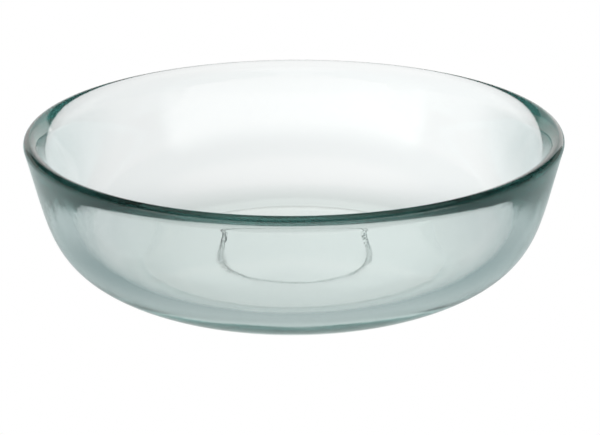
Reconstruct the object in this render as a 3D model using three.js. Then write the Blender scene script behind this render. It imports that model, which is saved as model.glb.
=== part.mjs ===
// Round bowl of thick, lightly tinted pressed glass, made in one piece.
// Sizes are in millimetres and angles in degrees. The bowl stands on the XY plane, +Z is up,
// and the origin is the middle of the ring that it stands on.
import * as THREE from 'three';

// Outside
const rimRadius = 100;
const bowlHeight = 57.5;
const footRadius = 59;
const bearingWidth = 6;
const heelSlope = 16;
const wallSlope = 75.5;
const heelFullness = 0.529;
const wallFullness = 0.496;

// Glass thickness
const wallThickness = 5.7;
const floorThickness = 8.5;
const floorInset = 12.5;
const innerWallSlope = 70.4;
const innerHeelFullness = 0.656;
const innerWallFullness = 0.385;

// Rim: a tight round outside and a long fall inside
const lipRadius = 2.2;
const lipFall = 7;
const quarterRound = 0.5523;

// Underside: a shallow hollow with the round seam that the mould's centre plug leaves
const hollowDepth = 0.4;
const seamRadius = 28.5;
const seamWidth = 2.4;
const seamDepth = 0.4;

// Fineness of the facets
const segmentsAround = 72;
const wallSteps = 13;
const lipSteps = 7;
const lipFallSteps = 5;
const hollowSteps = 5;

// A point of the section: its distance from the axis and its height.
function at(radius, height) {
  return new THREE.Vector2(radius, height);
}

// The point reached from another by going a given way along a slope.
function along(from, slope, distance) {
  const angle = THREE.MathUtils.degToRad(slope);
  return at(from.x + distance * Math.cos(angle), from.y + distance * Math.sin(angle));
}

// A smooth curve that leaves one end along one slope and reaches the other along another.
function sweep(start, startSlope, startPull, end, endSlope, endPull, steps) {
  const chord = start.distanceTo(end);
  const leaving = along(start, startSlope, startPull * chord);
  const arriving = along(end, endSlope, -endPull * chord);
  return new THREE.CubicBezierCurve(start, leaving, arriving, end).getPoints(steps);
}

// Height of the underside above the ring that the bowl stands on.
function hollowHeight(radius) {
  const share = radius / (footRadius - bearingWidth);
  return hollowDepth * (1 - share * share) ** 2;
}

// The hollow from one radius to another.
function hollowPoints(from, to) {
  const points = [];
  for (let step = 0; step <= hollowSteps; step += 1) {
    const radius = from + ((to - from) * step) / hollowSteps;
    points.push(at(radius, hollowHeight(radius)));
  }
  return points;
}

// The underside, from the axis out to the edge of the foot.
function undersidePoints() {
  const seamInner = seamRadius - seamWidth / 2;
  const seamOuter = seamRadius + seamWidth / 2;
  return [
    ...hollowPoints(0, seamInner),
    at(seamRadius, hollowHeight(seamRadius) + seamDepth),
    ...hollowPoints(seamOuter, footRadius - bearingWidth),
  ];
}

// The outside of the wall, from the foot up to where the lip's round begins.
function outsidePoints(lipStart) {
  const foot = at(footRadius, 0);
  return sweep(foot, heelSlope, heelFullness, lipStart, wallSlope, wallFullness, wallSteps);
}

// The round at the lip's outer edge, from the wall to the crest.
function lipPoints(lipCentre) {
  const from = THREE.MathUtils.degToRad(wallSlope - 90);
  const round = new THREE.EllipseCurve(
    lipCentre.x, lipCentre.y, lipRadius, lipRadius, from, Math.PI / 2, false, 0,
  );
  return round.getPoints(lipSteps);
}

// The long fall of the lip, from its crest to the inner wall.
function lipFallPoints(crest, innerTop) {
  const corner = at(rimRadius - wallThickness, bowlHeight);
  const leaving = crest.clone().lerp(corner, quarterRound);
  const arriving = innerTop.clone().lerp(corner, quarterRound);
  return new THREE.CubicBezierCurve(crest, leaving, arriving, innerTop).getPoints(lipFallSteps);
}

// The inside, from the lip's fall down to the flat floor.
function insidePoints(innerTop) {
  const floorEdge = at(footRadius - floorInset, floorThickness);
  return sweep(
    innerTop, innerWallSlope + 180, innerWallFullness, floorEdge, 180, innerHeelFullness, wallSteps,
  );
}

// The bowl's whole section, from the axis under the floor round to the axis above it.
function sectionPoints() {
  const lipCentre = at(rimRadius - lipRadius, bowlHeight - lipRadius);
  const lipStart = along(lipCentre, wallSlope - 90, lipRadius);
  const crest = at(lipCentre.x, bowlHeight);
  const lipFallLength = lipFall / Math.sin(THREE.MathUtils.degToRad(innerWallSlope));
  const innerTop = along(at(rimRadius - wallThickness, bowlHeight), innerWallSlope, -lipFallLength);
  return [
    ...undersidePoints(),
    ...outsidePoints(lipStart),
    ...lipPoints(lipCentre).slice(1),
    ...lipFallPoints(crest, innerTop).slice(1),
    ...insidePoints(innerTop).slice(1),
    at(0, floorThickness),
  ];
}

// The bowl: its section turned about the Z axis.
function makeBowl() {
  const geometry = new THREE.LatheGeometry(sectionPoints(), segmentsAround);
  geometry.rotateX(Math.PI / 2);
  const glass = new THREE.MeshStandardMaterial({
    color: 0xc4d8d4,
    roughness: 0.05,
    metalness: 0,
    transparent: true,
    opacity: 0.4,
  });
  const bowl = new THREE.Mesh(geometry, glass);
  bowl.name = 'bowl';
  return bowl;
}

const glassBowl = new THREE.Group();
glassBowl.add(makeBowl());

export default glassBowl;
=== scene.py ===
"""A round bowl of thick, faintly tinted pressed glass on a pale floor.

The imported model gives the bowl's place and its overall size. This script turns the same section as a fine glass
body, with the small unevenness of pressed glass, and adds the finish, the floor, the light and the camera.
Lengths are in metres and angles in degrees, with +Z up and the bowl standing on the floor at the origin.
"""

import logging
import math
from dataclasses import dataclass

import bpy
from mathutils import Matrix, Vector


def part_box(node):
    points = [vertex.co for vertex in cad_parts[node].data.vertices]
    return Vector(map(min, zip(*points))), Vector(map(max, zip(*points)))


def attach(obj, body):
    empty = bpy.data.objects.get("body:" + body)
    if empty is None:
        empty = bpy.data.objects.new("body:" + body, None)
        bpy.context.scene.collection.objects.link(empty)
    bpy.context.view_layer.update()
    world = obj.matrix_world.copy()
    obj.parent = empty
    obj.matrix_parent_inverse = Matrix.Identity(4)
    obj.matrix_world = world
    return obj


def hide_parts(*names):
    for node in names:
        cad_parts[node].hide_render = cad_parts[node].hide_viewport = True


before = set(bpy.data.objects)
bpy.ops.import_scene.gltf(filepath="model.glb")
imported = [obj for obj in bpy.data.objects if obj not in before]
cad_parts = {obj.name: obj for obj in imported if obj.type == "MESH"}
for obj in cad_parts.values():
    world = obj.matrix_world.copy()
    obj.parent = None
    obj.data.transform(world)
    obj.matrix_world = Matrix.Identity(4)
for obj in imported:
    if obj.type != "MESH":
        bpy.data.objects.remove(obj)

log = logging.getLogger("bowl")
Colour = tuple[float, float, float]

QUARTER_ROUND = 0.5523
ON_AXIS = 1e-9
GLASS_BOUNCES = 64


def slope_way(slope: float) -> Vector:
    """Give the unit direction in the section that rises at a slope in degrees."""
    angle = math.radians(slope)
    return Vector((math.cos(angle), math.sin(angle)))


def sweep(start: Vector, leaving: Vector, arriving: Vector, end: Vector, steps: int) -> list[Vector]:
    """Draw a cubic curve through two ends and towards two pull points.

    Args:
        start: First end of the curve.
        leaving: Pull point of the first end.
        arriving: Pull point of the second end.
        end: Second end of the curve.
        steps: Number of straight steps.

    Returns:
        The points after the first end, up to and with the second.
    """
    points = []
    for step in range(1, steps + 1):
        t = step / steps
        s = 1 - t
        points.append(s**3 * start + 3 * s * s * t * leaving + 3 * s * t * t * arriving + t**3 * end)
    return points


@dataclass(frozen=True)
class NodeTree:
    """Short ways to add and join the nodes of one tree."""

    tree: bpy.types.NodeTree

    def add(self, kind: str, **settings: object) -> bpy.types.Node:
        """Add a node.

        Args:
            kind: Blender's name for the kind of node.
            **settings: Properties to set on the node.

        Returns:
            The new node.
        """
        node = self.tree.nodes.new(kind)
        for name, value in settings.items():
            setattr(node, name, value)
        return node

    def join(self, source: bpy.types.NodeSocket, target: bpy.types.NodeSocket) -> None:
        """Link one socket to another."""
        self.tree.links.new(source, target)

    def maths(self, operation: str, *values: object) -> bpy.types.NodeSocket:
        """Add a Math node.

        Args:
            operation: Blender's name for the operation.
            *values: A number or a socket for each input.

        Returns:
            The node's output.
        """
        node = self.add("ShaderNodeMath", operation=operation)
        for socket, value in zip(node.inputs, values):
            if isinstance(value, bpy.types.NodeSocket):
                self.join(value, socket)
            else:
                socket.default_value = value
        return node.outputs[0]

    def vectors(self, operation: str, *values: object) -> bpy.types.NodeSocket:
        """Add a Vector Math node, which here works on red, green and blue at once.

        Args:
            operation: Blender's name for the operation.
            *values: A colour, a number or a socket for each input.

        Returns:
            The node's output.
        """
        node = self.add("ShaderNodeVectorMath", operation=operation)
        for socket, value in zip(node.inputs, values):
            if isinstance(value, bpy.types.NodeSocket):
                self.join(value, socket)
            else:
                socket.default_value = value if isinstance(value, tuple) else (value, value, value)
        return node.outputs[0]

    def ease(
        self, value: bpy.types.NodeSocket, low: float, high: float, first: float, last: float
    ) -> bpy.types.NodeSocket:
        """Ease a socket's value from one number to another.

        Args:
            value: The socket to read.
            low: Where the result is first.
            high: Where the result is last.
            first: Result at and below low.
            last: Result at and above high.

        Returns:
            The eased value's socket.
        """
        node = self.add("ShaderNodeMapRange", interpolation_type="SMOOTHSTEP")
        for name, number in (("From Min", low), ("From Max", high), ("To Min", first), ("To Max", last)):
            node.inputs[name].default_value = number
        self.join(value, node.inputs["Value"])
        return node.outputs["Result"]

    def white_to_camera(self, light: bpy.types.NodeSocket) -> bpy.types.NodeSocket:
        """Show plain white where the camera looks straight at a light, and the light itself through the glass.

        Args:
            light: The light's colour.

        Returns:
            The colour's socket.
        """
        seen = self.add("ShaderNodeLightPath").outputs["Is Camera Ray"]
        return self.vectors("MULTIPLY_ADD", self.vectors("SUBTRACT", 1.0, light), seen, light)


@dataclass(frozen=True)
class MouldMarks:
    """What the mould leaves in pressed glass, as a node group.

    There are faint waves, patches of haze, and a gritty ring round the centre plug. The ring is rough on its left
    side and faint round the rest.
    """

    name: str = "mould_marks"
    haze_from: float = 0.42
    haze_to: float = 0.7
    grit_from: float = 0.4
    grit_to: float = 0.6
    grit_least: float = 0.2
    band_full: float = 0.25
    band_clear: float = 0.5
    under_full: float = 0.003
    under_clear: float = 0.005
    rough_to: float = -0.024
    rough_gone: float = -0.008

    def group(self) -> bpy.types.NodeTree:
        """Build the group once and give it again after that.

        Returns:
            The node group. Its outputs are the height of the waves and the grit, the haze in patches from 0 to
            1, and the rough ring from 0 to 1.
        """
        made = bpy.data.node_groups.get(self.name)
        if made:
            return made
        made = bpy.data.node_groups.new(self.name, "ShaderNodeTree")
        nodes = NodeTree(made)
        labels = ("Wave Size", "Ripple Size", "Ripple Share", "Haze Size", "Ring Radius", "Ring Width", "Ring Grit",
                  "Ring Rest", "Ring Height")
        for label in labels:
            made.interface.new_socket(name=label, in_out="INPUT", socket_type="NodeSocketFloat")
        for label in ("Height", "Haze", "Ring"):
            made.interface.new_socket(name=label, in_out="OUTPUT", socket_type="NodeSocketFloat")
        given = nodes.add("NodeGroupInput").outputs
        result = nodes.add("NodeGroupOutput").inputs
        place = nodes.add("ShaderNodeTexCoord").outputs["Object"]
        waves = self._clouds(nodes, place, given["Wave Size"], 1.0)
        ripples = self._clouds(nodes, place, given["Ripple Size"], 2.0)
        haze = self._clouds(nodes, place, given["Haze Size"], 3.0)
        nodes.join(nodes.ease(haze, self.haze_from, self.haze_to, 0.0, 1.0), result["Haze"])
        grains = self._clouds(nodes, place, given["Ring Grit"], 1.0)
        grit = nodes.ease(grains, self.grit_from, self.grit_to, self.grit_least, 1.0)
        ring = nodes.maths("MULTIPLY", self._ring(nodes, place, given), grit)
        nodes.join(ring, result["Ring"])
        swell = nodes.maths("MULTIPLY_ADD", ripples, given["Ripple Share"], waves)
        nodes.join(nodes.maths("MULTIPLY_ADD", ring, given["Ring Height"], swell), result["Height"])
        return made

    @staticmethod
    def _clouds(
        nodes: NodeTree, place: bpy.types.NodeSocket, size: bpy.types.NodeSocket, detail: float
    ) -> bpy.types.NodeSocket:
        """Add soft noise of one grain size.

        Args:
            nodes: The tree to build in.
            place: Where on the object the noise is read.
            size: Grain size in metres.
            detail: How many finer layers the noise has.

        Returns:
            The noise's socket, from 0 to 1.
        """
        clouds = nodes.add("ShaderNodeTexNoise")
        clouds.inputs["Detail"].default_value = detail
        nodes.join(place, clouds.inputs["Vector"])
        nodes.join(nodes.maths("DIVIDE", 1.0, size), clouds.inputs["Scale"])
        return clouds.outputs["Fac"]

    def _ring(
        self, nodes: NodeTree, place: bpy.types.NodeSocket, given: bpy.types.NodeOutputs
    ) -> bpy.types.NodeSocket:
        """Add a mask of the ring under the floor, which is rough on one side and faint round the rest.

        Args:
            nodes: The tree to build in.
            place: Where on the object the mask is read.
            given: The sockets that hold the group's inputs.

        Returns:
            The mask's socket, 1 in the middle of the ring on its rough side.
        """
        split = nodes.add("ShaderNodeSeparateXYZ")
        nodes.join(place, split.inputs[0])
        across, along, up = split.outputs["X"], split.outputs["Y"], split.outputs["Z"]
        square = nodes.maths("MULTIPLY_ADD", along, along, nodes.maths("MULTIPLY", across, across))
        reach = nodes.maths("SQRT", square)
        aside = nodes.maths("ABSOLUTE", nodes.maths("SUBTRACT", reach, given["Ring Radius"]))
        share = nodes.maths("DIVIDE", aside, given["Ring Width"])
        band = nodes.ease(share, self.band_full, self.band_clear, 1.0, 0.0)
        low = nodes.ease(up, self.under_full, self.under_clear, 1.0, 0.0)
        rest = nodes.ease(across, self.rough_to, self.rough_gone, 0.0, 1.0)
        fade = nodes.maths("MULTIPLY_ADD", rest, nodes.maths("SUBTRACT", given["Ring Rest"], 1.0), 1.0)
        return nodes.maths("MULTIPLY", nodes.maths("MULTIPLY", band, low), fade)


@dataclass(frozen=True)
class GlassFinish:
    """Clear, faintly tinted pressed glass.

    The tint is in the glass itself, so it deepens where the glass is thick or seen edge on. The lip and the foot are
    smoother than the wall between them.
    """

    name: str = "bowl_glass"
    roughness: float = 0.055
    haze: float = 0.04
    lip_share: float = 0.05
    lip_from: float = 0.042
    lip_to: float = 0.05
    foot_share: float = 0.2
    foot_from: float = 0.0035
    foot_to: float = 0.007
    ring_roughness: float = 0.45
    ring_grit: float = 0.0012
    ring_rest: float = 0.3
    ring_height: float = 3.0
    wave_height: float = 0.0002
    wave_size: float = 0.03
    ripple_size: float = 0.006
    ripple_share: float = 0.12
    haze_size: float = 0.012
    ring_radius: float = 0.0285
    ring_width: float = 0.0024
    refraction: float = 1.52
    red_kept: float = 0.946
    green_kept: float = 0.97
    blue_kept: float = 0.968
    kept_over: float = 0.006

    def _tint(self) -> tuple[Colour, float]:
        """Work out the absorption from the light kept over a thickness.

        Returns:
            The absorption's colour, and its density per metre.
        """
        losses = [-math.log(kept) / self.kept_over for kept in (self.red_kept, self.green_kept, self.blue_kept)]
        density = max(losses)
        return tuple(1 - loss / density for loss in losses), density

    def material(self) -> bpy.types.Material:
        """Build the material.

        Returns:
            A glass material with waves and grit in its normal, and haze and grit in its roughness.
        """
        made = bpy.data.materials.new(self.name)
        made.use_nodes = True
        nodes = NodeTree(made.node_tree)
        glass = made.node_tree.nodes["Principled BSDF"]
        glass.inputs["Base Color"].default_value = (1.0, 1.0, 1.0, 1.0)
        glass.inputs["Metallic"].default_value = 0.0
        glass.inputs["Transmission Weight"].default_value = 1.0
        glass.inputs["IOR"].default_value = self.refraction
        marks = nodes.add("ShaderNodeGroup", node_tree=MouldMarks().group())
        for label, value in (
            ("Wave Size", self.wave_size), ("Ripple Size", self.ripple_size), ("Ripple Share", self.ripple_share),
            ("Haze Size", self.haze_size), ("Ring Radius", self.ring_radius), ("Ring Width", self.ring_width),
            ("Ring Grit", self.ring_grit), ("Ring Rest", self.ring_rest), ("Ring Height", self.ring_height),
        ):
            marks.inputs[label].default_value = value
        patches = nodes.maths("MULTIPLY_ADD", marks.outputs["Haze"], self.haze, self.roughness)
        place = nodes.add("ShaderNodeSeparateXYZ")
        nodes.join(nodes.add("ShaderNodeTexCoord").outputs["Object"], place.inputs[0])
        polish = nodes.ease(place.outputs["Z"], self.lip_from, self.lip_to, 1.0, self.lip_share)
        foot = nodes.ease(place.outputs["Z"], self.foot_from, self.foot_to, self.foot_share, 1.0)
        body = nodes.maths("MULTIPLY", nodes.maths("MULTIPLY", patches, polish), foot)
        rough = nodes.maths("MULTIPLY_ADD", marks.outputs["Ring"], self.ring_roughness, body)
        nodes.join(rough, glass.inputs["Roughness"])
        bump = nodes.add("ShaderNodeBump")
        bump.inputs["Strength"].default_value = 1.0
        bump.inputs["Distance"].default_value = self.wave_height
        nodes.join(marks.outputs["Height"], bump.inputs["Height"])
        nodes.join(bump.outputs["Normal"], glass.inputs["Normal"])
        colour, density = self._tint()
        tint = nodes.add("ShaderNodeVolumeAbsorption")
        tint.inputs["Color"].default_value = (*colour, 1.0)
        tint.inputs["Density"].default_value = density
        nodes.join(tint.outputs["Volume"], made.node_tree.nodes["Material Output"].inputs["Volume"])
        return made


@dataclass(frozen=True)
class FloorFinish:
    """The pale floor, plain white to the camera. Where it is seen through the glass it glows with painted light and
    painted shade.

    The painted light is brighter in front and a little brighter towards +X. The painted shade darkens the floor out
    at the sides, in a ring round the bowl's foot that is deepest in front, and under the bowl. It stands for light
    that has come through the tinted bowl, so it loses the most red.
    """

    name: str = "pale_floor"
    # Painted light: the floor's glow behind the bowl and in front of it.
    behind_glow: float = 1.005
    front_glow: float = 1.791
    front_from: float = -0.3
    front_to: float = -0.08
    # Painted shade: light the floor loses out at its left and right sides.
    left_shade_loss: Colour = (0.276, 0.208, 0.21)
    right_shade_loss: Colour = (0.483, 0.415, 0.417)
    side_from: float = 0.084
    side_to: float = 0.133
    # Painted shadow of the bowl: a ring round its foot, deepest in front.
    shade_loss: Colour = (0.753, 0.675, 0.671)
    shade_inside: float = 0.035
    shade_inner: float = 0.108
    shade_outer: float = 0.093
    shade_outside: float = 0.15
    shade_front: float = -0.062
    shade_back: float = 0.119
    # Painted shade under the bowl.
    under_shade_loss: Colour = (0.207, 0.165, 0.187)
    under_shade_inside: float = 0.05
    under_shade_outside: float = 0.1
    # Painted light: the floor a little darker to the left and lighter to the right.
    left_glow: float = 0.929
    right_glow: float = 1.071
    turn_over: float = 0.15

    @staticmethod
    def _keep(nodes: NodeTree, mask: bpy.types.NodeSocket, loss: Colour) -> bpy.types.NodeSocket:
        """Give the share of light that a mask leaves."""
        return nodes.vectors("MULTIPLY_ADD", mask, tuple(-share for share in loss), 1.0)

    def _glow(self, nodes: NodeTree) -> bpy.types.NodeSocket:
        """Work out the floor's painted light and painted shade at each place.

        Args:
            nodes: The material's tree.

        Returns:
            The colour of the painted light, with the painted shade taken out.
        """
        split = nodes.add("ShaderNodeSeparateXYZ")
        nodes.join(nodes.add("ShaderNodeNewGeometry").outputs["Position"], split.inputs[0])
        across, along = split.outputs["X"], split.outputs["Y"]
        square = nodes.maths("MULTIPLY_ADD", across, across, nodes.maths("MULTIPLY", along, along))
        reach = nodes.maths("SQRT", square)
        # Painted light, brighter in front and towards +X.
        depth = nodes.ease(along, self.front_from, self.front_to, self.front_glow, self.behind_glow)
        tilt = nodes.ease(across, -self.turn_over, self.turn_over, self.left_glow, self.right_glow)
        # Painted shade at the left and right sides and in a ring round the bowl, deepest in front.
        left = nodes.ease(across, -self.side_to, -self.side_from, 1.0, 0.0)
        right = nodes.ease(across, self.side_from, self.side_to, 0.0, 1.0)
        ring_in = nodes.ease(reach, self.shade_inside, self.shade_inner, 0.0, 1.0)
        ring_out = nodes.ease(reach, self.shade_outer, self.shade_outside, 1.0, 0.0)
        ring_side = nodes.ease(along, self.shade_front, self.shade_back, 1.0, 0.0)
        ring = nodes.maths("MULTIPLY", nodes.maths("MULTIPLY", ring_in, ring_out), ring_side)
        # Painted shade under the bowl.
        under = nodes.ease(reach, self.under_shade_inside, self.under_shade_outside, 1.0, 0.0)
        light = nodes.maths("MULTIPLY", depth, tilt)
        # Take each painted shade out of the painted light.
        for mask, loss in (
            (left, self.left_shade_loss), (right, self.right_shade_loss), (ring, self.shade_loss), (under, self.under_shade_loss),
        ):
            light = nodes.vectors("MULTIPLY", light, self._keep(nodes, mask, loss))
        return light

    def material(self) -> bpy.types.Material:
        """Build the material.

        Returns:
            A material that gives its own light and reflects none.
        """
        made = bpy.data.materials.new(self.name)
        made.use_nodes = True
        nodes = NodeTree(made.node_tree)
        paint = made.node_tree.nodes["Principled BSDF"]
        paint.inputs["Base Color"].default_value = (0.0, 0.0, 0.0, 1.0)
        paint.inputs["Roughness"].default_value = 1.0
        paint.inputs["Specular IOR Level"].default_value = 0.0
        paint.inputs["Emission Strength"].default_value = 1.0
        nodes.join(nodes.white_to_camera(self._glow(nodes)), paint.inputs["Emission Color"])
        return made


@dataclass
class GlassBowl:
    """The bowl, turned from its section in one piece of glass."""

    rim_radius: float
    height: float
    foot_radius: float = 0.059
    bearing_width: float = 0.006
    heel_slope: float = 16.0
    wall_slope: float = 75.5
    heel_fullness: float = 0.529
    wall_fullness: float = 0.496
    wall_thickness: float = 0.0057
    floor_thickness: float = 0.0085
    floor_inset: float = 0.0125
    inner_wall_slope: float = 70.4
    inner_heel_fullness: float = 0.656
    inner_wall_fullness: float = 0.385
    lip_radius: float = 0.0022
    lip_fall: float = 0.007
    foot_round: float = 0.0006
    foot_steps: int = 4
    hollow_depth: float = 0.0004
    seam_radius: float = 0.0285
    seam_width: float = 0.0024
    seam_depth: float = 0.0002
    segments: int = 240
    wall_steps: int = 60
    lip_steps: int = 14
    hollow_steps: int = 12
    seam_steps: int = 10

    def hollow_height(self, radius: float) -> float:
        """Give the underside's height over the floor at a distance from the axis.

        Args:
            radius: Distance from the axis.

        Returns:
            Height of the glass over the floor, with the seam's groove.
        """
        share = radius / (self.foot_radius - self.bearing_width)
        height = self.hollow_depth * (1 - share * share) ** 2
        off = abs(radius - self.seam_radius) / (self.seam_width / 2)
        if off < 1:
            height += self.seam_depth * (0.5 + 0.5 * math.cos(math.pi * off))
        return height

    def _underside(self) -> list[Vector]:
        """Draw the underside with its hollow and the seam's groove.

        Returns:
            The points from the axis out to the bearing ring.
        """
        seam_in = self.seam_radius - self.seam_width / 2
        seam_out = self.seam_radius + self.seam_width / 2
        flat = self.foot_radius - self.bearing_width
        radii = [seam_in * step / self.hollow_steps for step in range(self.hollow_steps)]
        radii += [seam_in + self.seam_width * step / self.seam_steps for step in range(self.seam_steps)]
        radii += [seam_out + (flat - seam_out) * step / self.hollow_steps for step in range(self.hollow_steps + 1)]
        return [Vector((radius, self.hollow_height(radius))) for radius in radii]

    def _outside(self, lip_start: Vector) -> list[Vector]:
        """Draw the outside of the wall.

        Args:
            lip_start: Where the lip's round begins.

        Returns:
            The points from the rounded edge of the foot up to the lip.
        """
        foot = Vector((self.foot_radius, 0.0))
        chord = (lip_start - foot).length
        leaving = foot + self.heel_fullness * chord * slope_way(self.heel_slope)
        arriving = lip_start - self.wall_fullness * chord * slope_way(self.wall_slope)
        wall = sweep(foot, leaving, arriving, lip_start, self.wall_steps)
        clear = self.foot_radius + self.foot_round
        return [point for point in wall if point.x > clear]

    def _foot_edge(self) -> list[Vector]:
        """Draw the small round between the bearing ring and the outside.

        Returns:
            The points from the bearing ring outwards.
        """
        foot = Vector((self.foot_radius, 0.0))
        inner = foot - Vector((self.foot_round, 0.0))
        outer = foot + self.foot_round * slope_way(self.heel_slope)
        return [inner, *sweep(inner, foot, foot, outer, self.foot_steps)]

    def _lip(self, centre: Vector) -> list[Vector]:
        """Draw the tight round at the lip's outer edge.

        Args:
            centre: Middle of the round.

        Returns:
            The points after the wall's end, up to the crest.
        """
        first = self.wall_slope - 90
        turns = [first + (90 - first) * step / self.lip_steps for step in range(1, self.lip_steps + 1)]
        return [centre + self.lip_radius * slope_way(turn) for turn in turns]

    def _inside(self, inner_top: Vector) -> list[Vector]:
        """Draw the inner wall and the level floor.

        Args:
            inner_top: Where the lip's long fall ends.

        Returns:
            The points from under the lip down to the axis.
        """
        floor_edge = Vector((self.foot_radius - self.floor_inset, self.floor_thickness))
        chord = (inner_top - floor_edge).length
        leaving = inner_top - self.inner_wall_fullness * chord * slope_way(self.inner_wall_slope)
        arriving = floor_edge + Vector((self.inner_heel_fullness * chord, 0.0))
        wall = sweep(inner_top, leaving, arriving, floor_edge, self.wall_steps)
        reach = range(1, self.hollow_steps + 1)
        flat = [floor_edge.lerp(Vector((0.0, self.floor_thickness)), step / self.hollow_steps) for step in reach]
        return wall + flat

    def section(self) -> list[Vector]:
        """Draw the bowl's section.

        Returns:
            Its points, from the axis under the floor round to the axis above it.
        """
        lip_centre = Vector((self.rim_radius - self.lip_radius, self.height - self.lip_radius))
        lip_start = lip_centre + self.lip_radius * slope_way(self.wall_slope - 90)
        crest = Vector((lip_centre.x, self.height))
        corner = Vector((self.rim_radius - self.wall_thickness, self.height))
        fall = self.lip_fall / math.sin(math.radians(self.inner_wall_slope))
        inner_top = corner - fall * slope_way(self.inner_wall_slope)
        leaving = crest.lerp(corner, QUARTER_ROUND)
        arriving = inner_top.lerp(corner, QUARTER_ROUND)
        return [
            *self._underside(),
            *self._foot_edge(),
            *self._outside(lip_start),
            *self._lip(lip_centre),
            *sweep(crest, leaving, arriving, inner_top, 2 * self.lip_steps),
            *self._inside(inner_top),
        ]

    def build(self) -> bpy.types.Object:
        """Turn the section about the Z axis.

        Returns:
            The bowl as a closed mesh with its faces pointing out.
        """
        corners: list[tuple[float, float, float]] = []
        rings: list[list[int]] = []
        for point in self.section():
            first = len(corners)
            if point.x < ON_AXIS:
                corners.append((0.0, 0.0, point.y))
                rings.append([first])
                continue
            for step in range(self.segments):
                turn = 2 * math.pi * step / self.segments
                corners.append((point.x * math.cos(turn), point.x * math.sin(turn), point.y))
            rings.append(list(range(first, len(corners))))
        faces: list[tuple[int, ...]] = []
        for low, high in zip(rings[:-1], rings[1:]):
            for step in range(self.segments):
                after = (step + 1) % self.segments
                if len(low) == 1:
                    faces.append((low[0], high[after], high[step]))
                elif len(high) == 1:
                    faces.append((low[step], low[after], high[0]))
                else:
                    faces.append((low[step], low[after], high[after], high[step]))
        mesh = bpy.data.meshes.new("glass_bowl")
        mesh.from_pydata(corners, [], faces)
        mesh.polygons.foreach_set("use_smooth", [True] * len(faces))
        mesh.update()
        made = bpy.data.objects.new("glass_bowl", mesh)
        bpy.context.scene.collection.objects.link(made)
        return made

    def dress(self, made: bpy.types.Object) -> None:
        """Give the bowl its glass."""
        made.data.materials.append(GlassFinish().material())


@dataclass
class Studio:
    """The floor and the room round it.

    The room has a light wall behind, a brighter one in front, dim sides and a dim ceiling. The camera sees it only
    through the glass, and plain white elsewhere.
    """

    floor_size: float = 6.0
    floor_gap: float = 0.0003
    dim: float = 0.01
    back_light: float = 0.851
    back_side: float = 0.84
    back_middle: float = 0.87
    back_full: float = 0.42
    back_top: float = 0.52
    back_turn: float = 1.0
    front_light: float = 1.482
    front_side: float = 0.294
    front_middle: float = 0.444
    front_full: float = 0.091
    front_top: float = 0.552
    front_turn: float = 0.07
    left_light: float = 0.299
    right_light: float = 0.226
    wall_turn: float = 0.7
    wall_full: float = 0.285
    wall_top: float = 0.315
    ceiling_light: float = 0.338
    ceiling_low: float = 0.701
    ceiling_full: float = 0.921
    warm: Colour = (1.3, 1.0, 0.93)

    def lay_floor(self) -> bpy.types.Object:
        """Lay the floor under the bowl.

        Returns:
            The floor.
        """
        half = self.floor_size / 2
        corners = [(-half, -half), (half, -half), (half, half), (-half, half)]
        mesh = bpy.data.meshes.new("floor")
        mesh.from_pydata([(x, y, -self.floor_gap) for x, y in corners], [], [(0, 1, 2, 3)])
        mesh.materials.append(FloorFinish().material())
        made = bpy.data.objects.new("floor", mesh)
        bpy.context.scene.collection.objects.link(made)
        return made

    def light_room(self) -> bpy.types.World:
        """Light the room by soft walls of light.

        Returns:
            The world.
        """
        made = bpy.data.worlds.new("room")
        made.use_nodes = True
        nodes = NodeTree(made.node_tree)
        split = nodes.add("ShaderNodeSeparateXYZ")
        nodes.join(nodes.add("ShaderNodeTexCoord").outputs["Generated"], split.inputs[0])
        across, ahead, up = split.outputs["X"], split.outputs["Y"], split.outputs["Z"]
        back_across = nodes.ease(ahead, self.back_side, self.back_middle, 0.0, self.back_light)
        back_up = nodes.ease(up, self.back_full, self.back_top, 1.0, 0.0)
        back_turn = nodes.maths("MULTIPLY_ADD", across, self.back_turn, 1.0)
        back = nodes.maths("MULTIPLY", nodes.maths("MULTIPLY", back_across, back_up), back_turn)
        front_across = nodes.ease(ahead, -self.front_middle, -self.front_side, self.front_light, 0.0)
        front_up = nodes.ease(up, self.front_full, self.front_top, 1.0, 0.0)
        front_turn = nodes.maths("MULTIPLY_ADD", across, self.front_turn, 1.0)
        front = nodes.maths("MULTIPLY", nodes.maths("MULTIPLY", front_across, front_up), front_turn)
        sides = nodes.ease(across, -self.wall_turn, self.wall_turn, self.left_light, self.right_light)
        walls = nodes.maths("MULTIPLY", sides, nodes.ease(up, self.wall_full, self.wall_top, 1.0, 0.0))
        ceiling = nodes.ease(up, self.ceiling_low, self.ceiling_full, 0.0, self.ceiling_light)
        soft = nodes.vectors("MULTIPLY", nodes.maths("ADD", walls, ceiling), self.warm)
        bright = nodes.maths("ADD", nodes.maths("ADD", back, front), self.dim)
        shown = nodes.white_to_camera(nodes.vectors("ADD", soft, bright))
        nodes.join(shown, made.node_tree.nodes["Background"].inputs["Color"])
        bpy.context.scene.world = made
        return made


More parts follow.
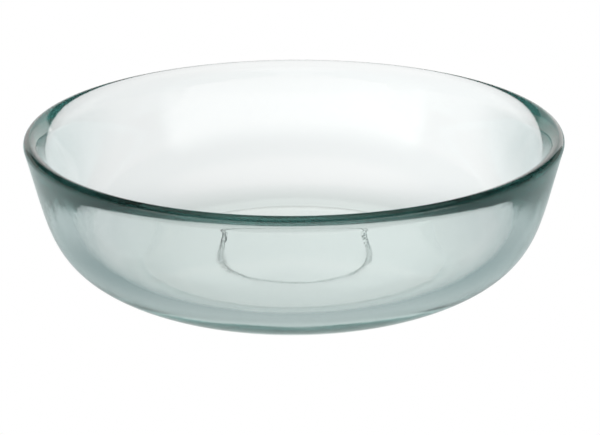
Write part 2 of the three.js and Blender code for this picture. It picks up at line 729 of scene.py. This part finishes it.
@dataclass
class View:
    """The camera, at the photograph's viewing angle."""

    elevation: float = 19.75
    distance: float = 0.7
    aim_side: float = 0.00209
    aim_height: float = 0.0219
    roll: float = -0.28
    focal_pixels: float = 1847.5
    frame_pixels: float = 600.0
    sensor: float = 36.0

    def build(self) -> bpy.types.Object:
        """Make the camera and use it for the scene.

        Returns:
            The camera.
        """
        data = bpy.data.cameras.new("camera")
        data.sensor_width = self.sensor
        data.lens = self.focal_pixels / self.frame_pixels * self.sensor
        tilt = math.radians(self.elevation)
        ahead = Vector((0.0, math.cos(tilt), -math.sin(tilt)))
        place = Vector((self.aim_side, 0.0, self.aim_height)) - ahead * self.distance
        pitch = Matrix.Rotation(math.radians(90 - self.elevation), 4, "X")
        roll = Matrix.Rotation(math.radians(self.roll), 4, "Z")
        made = bpy.data.objects.new("camera", data)
        made.matrix_world = Matrix.Translation(place) @ (pitch @ roll)
        bpy.context.scene.collection.objects.link(made)
        bpy.context.scene.camera = made
        return made


def set_light_paths() -> None:
    """Let light cross and bounce inside the thick glass as often as it needs."""
    scene = bpy.context.scene
    scene.view_settings.view_transform = "Standard"
    scene.cycles.max_bounces = GLASS_BOUNCES
    scene.cycles.transmission_bounces = GLASS_BOUNCES
    scene.cycles.glossy_bounces = GLASS_BOUNCES
    scene.cycles.diffuse_bounces = 4
    scene.cycles.caustics_refractive = True
    scene.cycles.caustics_reflective = True
    scene.cycles.blur_glossy = 0.5
    scene.cycles.sample_clamp_indirect = 10.0
    scene.cycles.use_denoising = True


def main() -> None:
    """Build the bowl, its studio and the camera, and report each piece."""
    logging.basicConfig(level=logging.INFO, format="%(name)s: %(message)s")
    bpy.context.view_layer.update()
    view = View().build()
    log.info("camera %s at %s", view.name, tuple(round(value, 3) for value in view.location))
    _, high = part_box("bowl")
    bowl = GlassBowl(rim_radius=high.x, height=high.z)
    made = bowl.build()
    bowl.dress(made)
    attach(made, "root")
    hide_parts("bowl")
    log.info("%s has %d faces", made.name, len(made.data.polygons))
    studio = Studio()
    log.info("%s laid", studio.lay_floor().name)
    log.info("%s lit", studio.light_room().name)
    set_light_paths()


if __name__ == "__main__":
    main()
